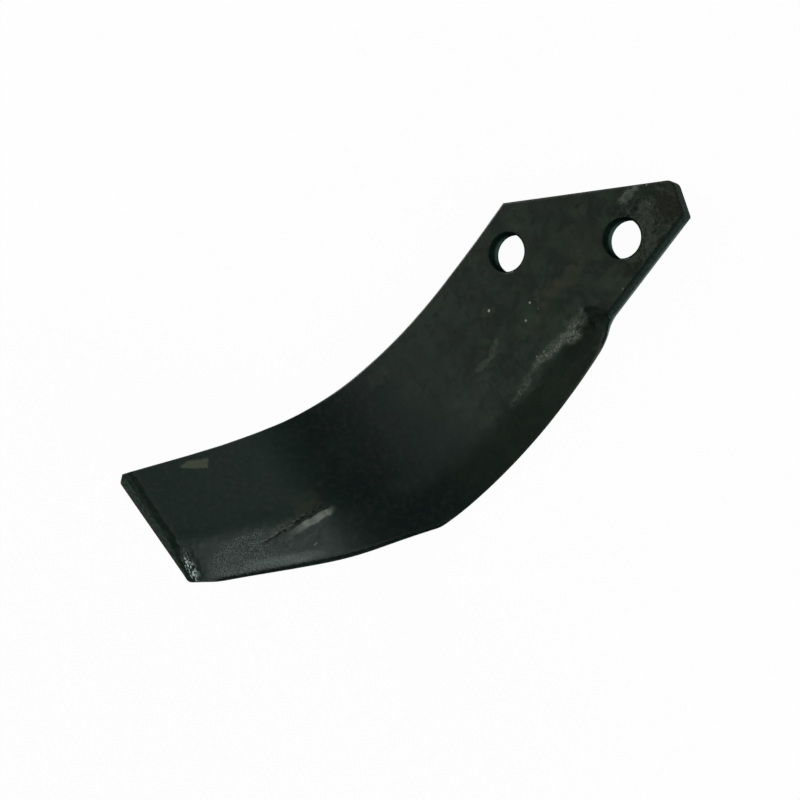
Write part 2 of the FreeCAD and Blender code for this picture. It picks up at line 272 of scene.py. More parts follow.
def past_fold(u, v):
    """How far across from the groove of the fold, towards the convex edge."""
    return v - (np.interp(u, [158, 165.5, 174, 182.8, 191.6, 204], [13.3, 13.4, 14.0, 15.2, 16.4, 17.3])
                + 0.32 * noise(u, u * 0, 4, 11))


def bevel_depth(u, w, wide):
    """The forged bevel: steep near the shank, gentler from 75 mm on, with a last roll at the toe."""
    lip = 5.0 * (1 - step(u, 45, 75))
    steep = FULL_DROP * (1 - (np.maximum(w, 0) + lip) / np.maximum(wide, 0.1))
    steep = steep * (1 + lip / np.maximum(wide, 0.1) / np.maximum(1 - lip / np.maximum(wide, 1), 0.3))
    gentle = 0.145 * (wide + 0.5 - w) - 4 * (1 - np.minimum(lip / 3, 1)) ** 2
    run_out = FULL_DROP * np.maximum(1 - (u - 0.6) / 14, 0) ** 2
    drop = smooth_max(steep, gentle, 0.02 + 0.44 * lip)
    depth = smooth_max(drop - run_out, np.zeros_like(drop), np.interp(u, SOFT_U, SOFT))
    return np.where(u < 0.2, 0, depth) + step(u, 168, 196) * 0.62 * np.maximum(1 - w / 6.0, 0) ** 2


def fold_depth(u, v):
    """The fold inside the bend: a groove, and a raised welt that falls to the edge side of it."""
    away = past_fold(u, v)
    groove = span(u, 160, 166, 192, 204) * 0.26 * hump(away, 0, 0.55) * (0.5 + 0.9 * noise(u, v, 1.2, 12))
    welt = 0.56 * span(u, 157.5, 164.5, 168, 187) * (1 + 0.25 * noise(u, v, 3.3, 13))
    fall = np.clip(1 - (away - 1.9) / 3.3, 0, 1) ** 1.25
    return groove - welt * np.where(away > 1.9, fall, step(away, -0.9, 1.9))


def forging_marks(x, y, u, v, w, wide):
    """Shallow unevenness, mostly on the bevel."""
    # A faint ridge along the bevel near the shank, and a crease where the bright lip ends
    ridge = np.interp(u, [17, 34, 54, 62], [1.5, 7.4, 12.8, 14])
    depth = -0.16 * span(u, 14, 22, 54, 64) * hump(w, ridge, 1.1)
    crease = np.interp(u, [54, 59, 62.2], [33.3, 35.4, 36.2])
    depth = depth + 0.22 * span(u, 52, 55, 61, 64) * hump(v, crease, 0.5)
    # The beaten skin of the bevel at both its ends
    nose = step(wide + 2 - w, 0, 3) * span(u, 5, 12, 55, 75)
    depth = depth + nose * (0.05 * noise(x, y, 5, 3) + 0.022 * noise(x, y, 1.7, 4))
    toe = step(wide + 1 - w, 0, 3) * step(u, 160, 180)
    depth = depth + toe * (0.05 * noise(x, y, 6, 8) + 0.03 * noise(x, y, 1.7, 9))
    # The slow waves of the whole face
    depth = depth + 0.07 * noise(x, y, 26, 5) + 0.012 * noise(x, y, 8, 6)
    # The chipped corner of the tip, and the ragged front edge of the cut end
    chipped = hump(u, 233, 4.0) * hump(v, 15, 7.5)
    depth = depth + chipped * (0.55 + 0.16 * noise(u * 1.5, v * 0.7, 1.3, 21))
    return depth + step(u, 233.6, 236) * (0.16 + 0.22 * noise(x, y, 2.2, 22))


def relief(x, y):
    """How far the hollow face lies under the flat face of the bar."""
    u, v, w, wide = to_run(x, y)
    depth = bevel_depth(u, w, wide) + fold_depth(u, v) + forging_marks(x, y, u, v, w, wide)
    return np.clip(depth, 0, THICK - THINNEST)


# The bend, with its curvature eased in and out on each side of both its ends
BEND_STEP = 0.1
bend_end = BEND_START + BEND_RADIUS * BEND_TURN
bend_u = np.arange(60.0, 260.0, BEND_STEP)
curvature = (step(bend_u, BEND_START - BEND_EASE, BEND_START + BEND_EASE)
             - step(bend_u, bend_end - BEND_EASE, bend_end + BEND_EASE)) / BEND_RADIUS
bend_turn = np.cumsum(curvature) * BEND_STEP
bend_forward = bend_u[0] - BEND_STEP + np.cumsum(np.cos(bend_turn)) * BEND_STEP
bend_height = THICK + np.cumsum(np.sin(bend_turn)) * BEND_STEP


def bent(flat, depth):
    """Places in metres of points of the blade, from where they lie before bending."""
    u, v = flat @ ALONG, flat @ ACROSS
    turn = np.interp(u, bend_u, bend_turn)
    forward = np.where(u < bend_u[0], u, np.interp(u, bend_u, bend_forward)) + depth * np.sin(turn)
    height = np.interp(u, bend_u, bend_height) - depth * np.cos(turn)
    return np.c_[ALONG[None, :] * forward[:, None] + ACROSS[None, :] * v[:, None], height] / 1000


# The skin of the blade
flats, depths, faces = [], [], []


def add_points(flat, depth):
    """Adds points by where they lie before bending, and gives their numbers."""
    start = sum(len(known) for known in flats)
    flats.append(np.asarray(flat, float))
    depths.append(np.broadcast_to(np.asarray(depth, float), (len(flat),)).copy())
    return list(range(start, start + len(flat)))


def strip(a, b):
    """Faces between two rings of as many points each."""
    for i in range(len(a)):
        j = (i + 1) % len(a)
        faces.append((a[i], a[j], b[j], b[i]))


def ring_wall(loop, solid_left, front_round, back_round, rows):
    """The wall along one closed rim, with both its edges rounded: gives its first and last rings."""
    shift = inward(loop, solid_left)
    rings = []
    for a in np.radians(ROUND_STEPS[::-1]):
        flat = loop + shift * (front_round * (1 - math.cos(a)))[:, None]
        rings.append(add_points(flat, relief(flat[:, 0], flat[:, 1]) + front_round * (1 - math.sin(a))))
    low = relief(loop[:, 0], loop[:, 1]) + front_round
    high = THICK - back_round
    for t in np.arange(1, rows) / rows:
        rings.append(add_points(loop, low * (1 - t) + high * t))
    for a in np.radians(ROUND_STEPS):
        flat = loop + shift * (back_round * (1 - math.cos(a)))[:, None]
        rings.append(add_points(flat, THICK - back_round * (1 - math.sin(a))))
    for a, b in zip(rings[:-1], rings[1:]):
        if solid_left:
            strip(b, a)
        else:
            strip(a, b)
    return rings[0], rings[-1]


edge_round = np.minimum(EDGE_ROUND, 0.4 * (THICK - relief(outline[:, 0], outline[:, 1])))
front_rims, back_rims = [[rim] for rim in ring_wall(outline, True, edge_round, edge_round, WALL_ROWS)]
wall_end = len(faces)
bore_starts = []
round_way = np.linspace(0, 2 * math.pi, HOLE_POINTS, endpoint=False)
for hole_x, hole_y in HOLES:
    bore_starts.append(len(faces))
    circle = np.c_[hole_x + HOLE_RADIUS * np.cos(round_way), hole_y + HOLE_RADIUS * np.sin(round_way)]
    rims = ring_wall(circle, False, np.full(HOLE_POINTS, HOLE_FRONT_ROUND),
                     np.full(HOLE_POINTS, HOLE_BACK_ROUND), BORE_ROWS)
    front_rims.append(rims[0])
    back_rims.append(rims[1])
bore_end = len(faces)

# How far the fill keeps from its rims, as a share of its pitch, and from a hole's own points in mm
RIM_GAP, HOLE_SLACK = 0.55, 0.002

# Where the relief is fine: from and to along the blade, from and to across it, and the pitch there
FINE = ((156, 206, 10.5, 23.5, 0.36), (226.5, 236, 4, 24, 0.42), (8, 67, 24, 39, 0.45))
FINE_GAP = 0.3


def even_grid(ring, pitch):
    """Points in staggered rows over the box around a ring."""
    low, high = ring.min(0), ring.max(0)
    rows = []
    for k, y in enumerate(np.arange(low[1], high[1], pitch * math.sqrt(3) / 2)):
        xs = np.arange(low[0] + (k % 2) * pitch / 2, high[0], pitch)
        rows.append(np.c_[xs, np.full(len(xs), y)])
    return np.concatenate(rows)


def refined(grid):
    """The grid with closer points where the relief is fine."""
    for u0, u1, v0, v1, pitch in FINE:
        u, v = grid @ ALONG, grid @ ACROSS
        grid = grid[(u < u0 - FINE_GAP) | (u > u1 + FINE_GAP) | (v < v0 - FINE_GAP) | (v > v1 + FINE_GAP)]
        u, v = np.meshgrid(np.arange(u0, u1, pitch), np.arange(v0, v1, pitch))
        u[::2] += pitch / 2
        grid = np.concatenate([grid, u.reshape(-1, 1) * ALONG + v.reshape(-1, 1) * ACROSS])
    return grid


def enclosed(grid, ring):
    """Which points of the grid lie inside a ring."""
    inside = np.zeros(len(grid), bool)
    for (x0, y0), (x1, y1) in zip(ring, np.roll(ring, -1, axis=0)):
        if y0 != y1:
            crosses = (grid[:, 1] > min(y0, y1)) & (grid[:, 1] <= max(y0, y1))
            inside ^= crosses & (grid[:, 0] < x0 + (grid[:, 1] - y0) * (x1 - x0) / (y1 - y0))
    return inside


def far_from(rims, grid, gap):
    """Which points of the grid lie further than gap from every point of the rims."""
    clear = []
    # In shares of the grid, to hold fewer distances at once
    for part in np.array_split(grid, 30):
        apart = part[:, None] - rims[None]
        clear.append((apart ** 2).sum(2).min(1) > gap ** 2)
    return np.concatenate(clear)


def cover(rim_ids, pitch, hollow):
    """Fills the hollow face or the flat back between its rims with an even mesh of triangles."""
    def face_depth(points):
        return relief(points[:, 0], points[:, 1]) if hollow else np.full(len(points), THICK)

    flat = np.concatenate(flats)
    loops = [flat[ids] for ids in rim_ids]
    rims = np.concatenate(loops)
    grid = even_grid(loops[0], pitch)
    if hollow:
        grid = refined(grid)
    inside = enclosed(grid, loops[0])
    holes = []
    for loop, (x, y) in zip(loops[1:], HOLES):
        reach = np.hypot(*(loop - np.array([x, y])).T).min()
        holes.append((x, y, reach * math.cos(math.pi / len(loop)) - HOLE_SLACK))
    for x, y, radius in holes:
        inside &= np.hypot(grid[:, 0] - x, grid[:, 1] - y) > radius
    grid = grid[inside]
    grid = grid[far_from(rims, grid, RIM_GAP * pitch)]
    edges, base = [], 0
    for loop in loops:
        edges += [(base + i, base + (i + 1) % len(loop)) for i in range(len(loop))]
        base += len(loop)
    points = [Vector(p) for p in np.concatenate([rims, grid])]
    verts, _, triangles, origin, _, _ = delaunay_2d_cdt(points, edges, [], 1, 1e-6)
    known = [i for ids in rim_ids for i in ids] + add_points(grid, face_depth(grid))
    ids = []
    for vert, source in zip(verts, origin):
        if source:
            ids.append(known[source[0]])
        else:
            extra = np.array([[vert[0], vert[1]]])
            ids.append(add_points(extra, face_depth(extra))[0])
    for triangle in triangles:
        a, b, c = (verts[i] for i in triangle)
        x, y = (a[0] + b[0] + c[0]) / 3, (a[1] + b[1] + c[1]) / 3
        if not any(math.hypot(x - hole_x, y - hole_y) < radius for hole_x, hole_y, radius in holes):
            leftwards = (b[0] - a[0]) * (c[1] - a[1]) - (b[1] - a[1]) * (c[0] - a[0]) > 0
            corners = [ids[i] for i in triangle]
            faces.append(tuple(corners if leftwards == hollow else corners[::-1]))


cover(front_rims, PITCH, True)
cover(back_rims, BACK_PITCH, False)

flat = np.concatenate(flats)
depth = np.concatenate(depths)
low, high = np.array(cad_box)
places = np.clip(bent(flat, depth), low + INSIDE_BOX, high - INSIDE_BOX)
mesh = bpy.data.meshes.new("blade_skin")
mesh.from_pydata([tuple(p) for p in places], [], faces)
assert not mesh.validate()
mesh.polygons.foreach_set("use_smooth", [True] * len(mesh.polygons))
u, v, w, wide = to_run(flat[:, 0], flat[:, 1])
for name, columns in (("bar_place", np.c_[flat, depth]), ("bar_run", np.c_[u, v, depth])):
    store = mesh.attributes.new(name, "FLOAT_VECTOR", "POINT")
    store.data.foreach_set("vector", columns.astype(np.float32).ravel() / 1000)


# Where each mark of the paint lies, mostly from 0 to 1, at every point of the skin

def lumpy(size, seed):
    """Noise over the flat blade."""
    return noise(flat[:, 0], flat[:, 1], size, seed)


def blot(x, y, rx, ry, turn, seed, ragged=0.45):
    """A stain with an uneven edge: 1 inside, 0 outside, centred where it lies before bending."""
    c, s = math.cos(math.radians(turn)), math.sin(math.radians(turn))
    dx, dy = flat[:, 0] - x, flat[:, 1] - y
    far = np.hypot((dx * c + dy * s) / rx, (-dx * s + dy * c) / ry)
    size = min(rx, ry)
    return 1 - step(far + ragged * (lumpy(size, seed) + 0.5 * lumpy(size / 2.5, seed + 1)), 0.7, 1.15)


def within(corners, soft, seed):
    """1 inside a polygon with its corners listed leftwards, 0 outside, with an uneven edge."""
    inside = np.full(len(flat), 1e9)
    for (x0, y0), (x1, y1) in zip(corners, corners[1:] + corners[:1]):
        left = (x1 - x0) * (flat[:, 1] - y0) - (y1 - y0) * (flat[:, 0] - x0)
        inside = np.minimum(inside, left / math.hypot(x1 - x0, y1 - y0))
    inside = inside + soft * (0.7 * lumpy(2.6, seed) + 0.5 * lumpy(1.1, seed + 1))
    return step(inside, -soft * 0.5, soft * 0.5)


def by_run(stations, values):
    """A value by the way along the blade."""
    return np.interp(u, stations, values)


# Stains of one kind, save one pale blot by the fold that is painted sheen: strength, then x, y,
# half sizes, turn, seed and raggedness of the blot
DARK = ((1.25, 48.5, 12, 6.6, 5.2, -50, 85, 0.55), (0.7, 44, 6.5, 3, 1.6, 60, 94, 0.6),
        (0.5, 39.5, 18.2, 3.4, 1.2, -12, 95, 0.6), (0.7, 45.5, -3.5, 3.4, 1.6, 60, 96, 0.7),
        (0.45, 30, -11, 4.5, 1.6, -30, 97, 0.7), (0.6, 32.5, -14, 4.5, 3, 40, 86, 0.6),
        (0.7, 7.5, 16.5, 2.2, 1.4, -40, 87), (0.45, -38, -33, 7, 4.5, 40, 88, 0.7),
        (0.4, -24, -34, 6, 4, 60, 89, 0.7), (0.5, 16, -30, 4, 3, 0, 90, 0.6),
        (0.35, 24, 12, 6, 3, 10, 91, 0.7), (0.5, -122, -112.5, 7, 1.2, 43, 92, 0.4))
BROWN = ((0.75, 4.5, -12, 13, 4.2, 43, 41), (1, -7.5, -20, 7, 4.5, 30, 43),
         (1, -37.7, -25.6, 3.6, 2.8, 0, 44), (0.6, 49, 11.5, 8, 6.5, -40, 45),
         (0.7, 9.5, 14.5, 2.6, 1.8, -40, 47), (0.6, -126, -114.5, 8, 2.4, 42, 49),
         (0.3, 8, 2, 10, 8, 0, 51), (0.5, -12, -31, 8, 4, 35, 48))
GREEN = ((1.5, 39.5, 18.4, 6.0, 2.2, -12, 53), (0.6, 51, 16.5, 4, 3, -30, 54),
         (0.5, 41, 4, 3.2, 3.6, 20, 50), (0.5, 44, -3, 4, 2, 60, 52),
         (0.4, -11, -29, 9, 5, 30, 56), (0.3, -5, 0, 9, 6, 10, 57))
PALE = ((0.8, 31.8, 18.2, 5.2, 2.1, 36, 63, 0.5), (0.4, 34.2, 20.2, 2.4, 1.2, 36, 74, 0.5),
        (1, 35.0, 20.6, 1.6, 0.9, 34, 64, 0.4), (0.35, 46.5, 18.8, 3.0, 0.7, -14, 66, 0.5),
        (0.3, 38.5, 12.5, 3.0, 1.6, 40, 68, 0.6), (0.26, 40, 2.5, 4.2, 7, 14, 65, 0.8),
        (0.42, -36.5, -43.5, 2.0, 4.6, -25, 67), (0.36, -41.5, -49.5, 4.5, 1.9, 30, 69),
        (0.14, -19, -33, 7, 4, 30, 70), (0.10, -97, -51, 6, 4, 30, 71), (0.10, -47, -63, 13, 6, 40, 73),
        # The blot at -137.3, -128.8 is painted sheen above the fold's groove, not a stain
        (0.12, 22, -17, 7, 4, 40, 75), (0.45, -137.3, -128.8, 7.5, 1.4, 43, 77, 0.2),
        (0.25, -144.5, -137.5, 4.5, 0.9, 43, 79, 0.3))
PATCH = ((-186.8, -108.9), (-173.1, -105.0), (-173.9, -99.6), (-181.4, -103.0))


def stains(rows):
    """All stains of one kind on the hollow face."""
    return on_front * np.clip(sum(strength * blot(*shape) for strength, *shape in rows), 0, 1)


on_front = 1 - step(depth - relief(flat[:, 0], flat[:, 1]), 0.3, 0.9)
off_back = 1 - step(depth, THICK - 1.5, THICK - 0.5)
into = wide - w
away = past_fold(u, v)
uneven = lumpy(3.1, 55)
marks = {}

# Brown and neutral towards the bolted end, teal towards the tip, and darkest in the bend, where the
# darkness is painted shade
marks["warmth"] = 1 - step(u + 0.35 * v + 12 * lumpy(22, 31), 62, 118)
marks["toe"] = step(u + 4 * lumpy(14, 35), 146, 172)
# Painted shade: the bend darker than the rest
marks["bend_tone_and_shade"] = step(u + 9 * lumpy(24, 33), 84, 118) * (1 - marks["toe"])

# The bevel: its paler paint, its ridge, painted shade in its hollows and on its run-out by the shank
marks["bevel"] = on_front * step(into, 0, 5) * span(u, 12, 20, 92, 125)
marks["ridge"] = on_front * hump(into, 0, 5.0) * span(u, 82, 98, 130, 145)
marks["shade"] = on_front * np.clip(0.9 * step(into, -1, 4) * span(u, 0, 4, 9, 21)
                                    + 0.32 * step(into, 3.5, 8) * span(u, 6, 14, 20, 44)
                                    + 0.12 * step(into, 3, 9) * span(u, 10, 20, 90, 120), 0, 1)
# Painted shade: the run-out by the shank takes a dull dark paint
marks["nose"] = on_front * step(into, -0.5, 1.5) * span(u, 0, 1.5, 7, 17)
marks["worn"] = on_front * hump(u, 84, 24) * step(into, 8, 0)
marks["gloss"] = on_front * step(u, 154, 164) * step(into, -1, 3)

# The lip by the shank, scuffed and painted pale as its highlight
lip_v = by_run([12, 13.9, 19.4, 26.6, 34.2, 40.6, 48.5, 55.1, 62, 72],
               [30, 30.6, 31.2, 31, 30.3, 30, 31.5, 33.1, 35.1, 38])
lip_half = by_run([10, 14, 18, 24, 29, 38, 50, 62], [2.2, 4.0, 4.8, 3.4, 2.2, 1.9, 1.8, 1.5])
marks["scuffs_and_highlight"] = (on_front * step(u, 9, 13) * by_run([9, 24, 32, 44, 58, 66], [1, 1, 0.72, 0.5, 0.35, 0])
                    * (1 - step(np.abs(v - lip_v) / lip_half + 0.45 * uneven, 0.1, 1.45))
                    * np.clip(0.85 + 0.6 * noise(u * 0.6, v, 2.4, 62), 0, 1.2))

# The toe of the bevel: a band near the edge painted pale as its highlight, the beaten skin, and the
# fold with its welt
edge_band_highlight = hump(w, 4.6, 1.9) * span(u, 170, 184, 204, 212)
marks["edge_band_highlight"] = on_front * edge_band_highlight * (0.8 + 0.3 * noise(u, v, 5, 60))
beaten = step(into, 0.5, 7) * step(u, 184, 204) * (1 - 0.9 * step(u, 218, 229))
beaten = beaten * (1 - 0.85 * step(w + 0.5 * (u - 228), 4, 11)) * (0.85 + 0.5 * uneven)
marks["hammered"] = on_front * np.clip(beaten + 0.8 * edge_band_highlight, 0, 1)
broken = 0.55 + 0.9 * noise(u * 0.42, v, 0.8, 59) + 0.3 * noise(u, v, 0.7, 76)
marks["groove"] = (on_front * span(u, 160, 166, 196, 203)
                   * (1 - step(np.abs(away + 0.15 * uneven), 0.15, 0.80)) * broken)
marks["seam"] = on_front * span(u, 160, 166, 190, 200) * span(away, -3.4, -1.8, 0.5, 1.4)
marks["welt"] = (on_front * span(u, 158, 164, 172, 188) * span(away, 1.4, 2.3, 4.0, 5.2)
                 * (0.8 + 0.4 * uneven))

# The tip: chips at its corner with painted glints, and the front edge of the cut end darkened as
# painted shade
near_corner = step(v, 2, 8)
ragged_end = 234.1 + 0.7 * near_corner + 0.7 * noise(u * 0, v, 3.4, 58) + 0.45 * uneven
marks["chips_and_glints"] = on_front * hump(u, 232.6, 2.2) * hump(v, 14.5, 7.5)
marks["end_edge"] = on_front * hump(u, ragged_end, 1.9 - 0.6 * near_corner)

# Dark rims, painted shade of the rounded edges: along the convex edge outside the bevel's middle,
# and along the trimmed side
rim_wide = by_run([100, 150, 222, 230], [1.6, 2.5, 2.5, 1.6])
off_trim = np.abs((flat - trim_point) @ np.array([trim_way[1], -trim_way[0]]))
by_edge = np.clip(1 - step(u, 14, 26) + span(u, 112, 130, 222, 230), 0, 1)
by_edge = by_edge * (1 - step(w / rim_wide, 0.2, 1))
by_trim = 1 - step(off_trim + 0.4 * lumpy(1.7, 72), 0.1, 1.1)
marks["rim"] = np.clip(off_back * (by_edge + by_trim), 0, 1)

# Stains, with one painted sheen among the pale ones
marks["soiled"] = on_front * blot(40, 4, 19, 21, 0, 83, 0.25)
marks["olive"] = on_front * blot(-125, -117, 10, 8, 43, 98, 0.9)
marks["patch"] = on_front * within(PATCH, 0.5, 61)
for name, rows in (("dark", DARK), ("brown", BROWN), ("green", GREEN), ("pale", PALE)):
    marks[name] = stains(rows)

for name, values in marks.items():
    store = mesh.attributes.new(name, "FLOAT", "POINT")
    store.data.foreach_set("value", values.astype(np.float32))
mesh.update()
skin = bpy.data.objects.new("blade_skin", mesh)
bpy.context.collection.objects.link(skin)

# Nodes: each function adds to the tree that start_nodes was last called for. The numbers are those of
# the sockets of a node that mixes colours.
MIX_SHARE, MIX_A, MIX_B, MIX_COLOUR = 0, 6, 7, 2


def start_nodes(owner):
    """Starts the nodes of a material or a world, and gives what they are made of."""
    global tree
    owner.use_nodes = True
    tree = owner.node_tree
    return tree.nodes


def node(kind, **settings):
    """A new node of the tree."""
    made = tree.nodes.new("ShaderNode" + kind)
    for name, value in settings.items():
        setattr(made, name, value)
    return made


def feed(socket, value):
    """Gives a socket a number, a colour or what comes out of another node."""
    if isinstance(value, bpy.types.NodeSocket):
        tree.links.new(value, socket)
    else:
        socket.default_value = value


def sums(kind, a, b, c=None, clamp=False):
    """One step of arithmetic."""
    made = node("Math", operation=kind, use_clamp=clamp)
    for socket, value in zip(made.inputs, (a, b, c)):
        if value is not None:
            feed(socket, value)
    return made.outputs[0]


def times(a, b):
    """The product of two values."""
    return sums("MULTIPLY", a, b)


def larger(a, b):
    """The larger of two values."""
    return sums("MAXIMUM", a, b)


def times_plus(a, factor, more):
    """a times the factor, plus more."""
    return sums("MULTIPLY_ADD", a, factor, more)


def ramp(value, low, high, out_low=0.0, out_high=1.0, kind="SMOOTHSTEP"):
    """A value carried from the range low to high to the range out_low to out_high."""
    made = node("MapRange", interpolation_type=kind)
    feed(made.inputs["Value"], value)
    for name, number in zip(("From Min", "From Max", "To Min", "To Max"), (low, high, out_low, out_high)):
        made.inputs[name].default_value = number
    return made.outputs[0]


def tint(share, a, b):
    """Colour a where the share is 0, colour b where it is 1."""
    made = node("Mix", data_type="RGBA")
    feed(made.inputs[MIX_SHARE], share)
    for socket, value in ((made.inputs[MIX_A], a), (made.inputs[MIX_B], b)):
        feed(socket, value if isinstance(value, bpy.types.NodeSocket) else (*value, 1))
    return made.outputs[MIX_COLOUR]


def attribute(name, output):
    """What the skin holds under a name."""
    return node("Attribute", attribute_name=name).outputs[output]


def mark(name):
    """How strong a mark of the paint is."""
    return attribute(name, "Fac")


def cloud(place, scale, detail, rough, warp=0.0):
    """Cloudy noise at a place."""
    made = node("TexNoise")
    feed(made.inputs["Vector"], place)
    for name, value in (("Scale", scale), ("Detail", detail), ("Roughness", rough), ("Distortion", warp)):
        made.inputs[name].default_value = value
    return made.outputs["Fac"]


def lumps(size, detail, rough, warp=0.0, shift=0.0, stretch=None):
    """Cloudy noise with lumps of about size mm, stretched along and across the blade if asked."""
    moved = node("VectorMath", operation="MULTIPLY_ADD")
    feed(moved.inputs[0], bar_run if stretch else bar_place)
    along_scale, across_scale = 1000 / size * (stretch or 1), 1000 / size / (stretch or 1)
    moved.inputs[1].default_value = (along_scale, across_scale, 1000 / size)
    moved.inputs[2].default_value = (shift, shift * 0.7, 0)
    return cloud(moved.outputs[0], 1.0, detail, rough, warp)


def speck(x, y, radius):
    """A round spot about a point of the hollow face, 1 at its middle."""
    apart = node("VectorMath", operation="DISTANCE")
    feed(apart.inputs[0], bar_place)
    apart.inputs[1].default_value = (x / 1000, y / 1000, relief(np.array([x]), np.array([y]))[0] / 1000)
    return ramp(apart.outputs["Value"], radius / 1000 * 0.5, radius / 1000, 1.0, 0.0)


# The black paint of both faces
paint = bpy.data.materials.new("black_paint")
surface = start_nodes(paint)["Principled BSDF"]
skin.data.materials.append(paint)
bar_place, bar_run = attribute("bar_place", "Vector"), attribute("bar_run", "Vector")
patches = lumps(13, 5, 0.60, 0.4, 3.1)
mottle = lumps(7.0, 3, 0.55, 0.8, 6.4)
fine = lumps(2.6, 4, 0.6, 0.3, 5.3)
flecks = lumps(2.1, 4, 0.62, 0.8, 5.9)
smears = times(ramp(lumps(7, 5, 0.62, 0.7, 7.7), 0.44, 0.60), mark("warmth"))


def coat(colour, share, most, shade):
    """A shade laid over a colour, by its share and the most that it may cover."""
    return tint(times(share, most), colour, shade)


# Base colours, a dark and a light one, each warm by the shank and cold from the bend on, and
# darkest in the bend as painted shade
warm = ramp(sums("ADD", mark("warmth"), times_plus(lumps(34, 4, 0.6, 0.4), 1.2, -0.6)), 0.0, 1.0)
cold = tint(mark("toe"), (0.0042, 0.0085, 0.0068), (0.0032, 0.0100, 0.0080))
cold = tint(mark("bend_tone_and_shade"), cold, (0.0018, 0.0050, 0.0045))
colour = tint(warm, cold, (0.0044, 0.0080, 0.0042))
cold = tint(mark("toe"), (0.0095, 0.0150, 0.0120), (0.0050, 0.0130, 0.0105))
cold = tint(mark("bend_tone_and_shade"), cold, (0.0036, 0.0082, 0.0074))
colour = tint(ramp(patches, 0.39, 0.62), colour, tint(warm, cold, (0.0200, 0.0272, 0.0185)))
colour = coat(colour, mark("worn"), 0.35, (0.0250, 0.0330, 0.0250))
colour = coat(colour, smears, 0.55, (0.0240, 0.0295, 0.0220))
spotted = times_plus(mark("warmth"), 0.62, 0.05)
colour = coat(colour, ramp(mottle, 0.52, 0.36), spotted, (0.0060, 0.0090, 0.0062))
colour = coat(colour, mark("bevel"), 0.62, (0.0118, 0.0158, 0.0112))
colour = coat(colour, ramp(fine, 0.46, 0.66), 0.28, (0.0210, 0.0245, 0.0190))
colour = coat(colour, mark("olive"), 0.30, (0.0240, 0.0270, 0.0185))

# Stains and smears of the shank
green = times(mark("green"), ramp(mottle, 0.30, 0.62, 0.4, 1.0))
colour = coat(colour, green, 0.95, (0.0050, 0.0170, 0.0060))
brown = times(mark("brown"), ramp(lumps(3.5, 4, 0.6, 0.6, 9.1), 0.30, 0.62, 0.35, 1.0))
colour = coat(colour, brown, 0.8, (0.0185, 0.0190, 0.0060))
dark = times(mark("dark"), ramp(mottle, 0.34, 0.58, 0.4, 1.0))
colour = coat(colour, dark, 0.9, (0.0052, 0.0050, 0.0026))
soiled = mark("soiled")
cleaner = times(soiled, times_plus(larger(dark, green), -0.75, 1.0))
colour = coat(colour, cleaner, ramp(flecks, 0.49, 0.61, 0.0, 0.68), (0.042, 0.047, 0.034))
colour = coat(colour, soiled, ramp(flecks, 0.48, 0.38, 0.0, 0.95), (0.0022, 0.0042, 0.0022))
pale = times(mark("pale"), ramp(lumps(2.5, 4, 0.65, 0.5, 2.9), 0.32, 0.60, 0.30, 1.0))
colour = tint(pale, colour, (0.078, 0.086, 0.068))
patch = times(mark("patch"), ramp(fine, 0.3, 0.6, 0.72, 1.0))
colour = tint(patch, colour, (0.050, 0.056, 0.036))

# Scuffed, beaten and chipped places of the bevel, with painted highlights, glints and sheen, and
# painted shade in the fold and along the edges
# Painted highlight: pale strokes on the scuffed lip
strokes = ramp(lumps(0.72, 3, 0.6, 0.3, 8.3, 0.70), 0.46, 0.60)
colour = coat(colour, times(mark("scuffs_and_highlight"), times_plus(strokes, 0.82, 0.18)), 0.94, (0.200, 0.215, 0.178))
colour = coat(colour, mark("hammered"), 0.90, (0.0030, 0.0068, 0.0054))
# Painted highlight along the edge of the toe
colour = coat(colour, mark("edge_band_highlight"), 0.75, (0.055, 0.073, 0.065))
# Painted glints on the beaten skin
glint_specks = ramp(lumps(0.50, 2, 0.6, 0.1, 8.3), 0.50, 0.58)
colour = coat(colour, times(mark("hammered"), glint_specks), 0.68, (0.095, 0.120, 0.108))
# Painted glints at the chipped corner: pale streaks with dark gaps between them
colour = coat(colour, ramp(mark("chips_and_glints"), 0.1, 0.6), 0.85, (0.0012, 0.0050, 0.0042))
glint_streaks = ramp(lumps(1.15, 2, 0.5, 0.5, 2.2, 1.5), 0.52, 0.56)
colour = coat(colour, ramp(mark("chips_and_glints"), 0.15, 0.7), glint_streaks, (0.31, 0.38, 0.35))
# Painted sheen above the fold's groove, broken by dark dashes of painted shade
colour = coat(colour, mark("seam"), 0.50, (0.0230, 0.0240, 0.0190))
dashes = ramp(lumps(0.85, 3, 0.6, 0.4, 6.1, 0.52), 0.50, 0.58)
colour = coat(colour, mark("seam"), dashes, (0.0018, 0.0032, 0.0024))
# Painted highlight on the welt
colour = coat(colour, mark("welt"), ramp(fine, 0.3, 0.6, 0.42, 0.85), (0.080, 0.084, 0.068))
# Painted shade in the fold's groove
groove = times(mark("groove"), ramp(lumps(1.5, 3, 0.6, 0.4, 3.9), 0.36, 0.50, 0.25, 1.0))
colour = tint(groove, colour, (0.0012, 0.0020, 0.0016))
# Painted shade along the rims and the front edge of the cut end, and in the bevel's hollows
colour = tint(larger(mark("end_edge"), times(mark("rim"), 0.85)), colour, (0.0022, 0.0046, 0.0032))
colour = tint(mark("shade"), colour, (0.0025, 0.0045, 0.0032))

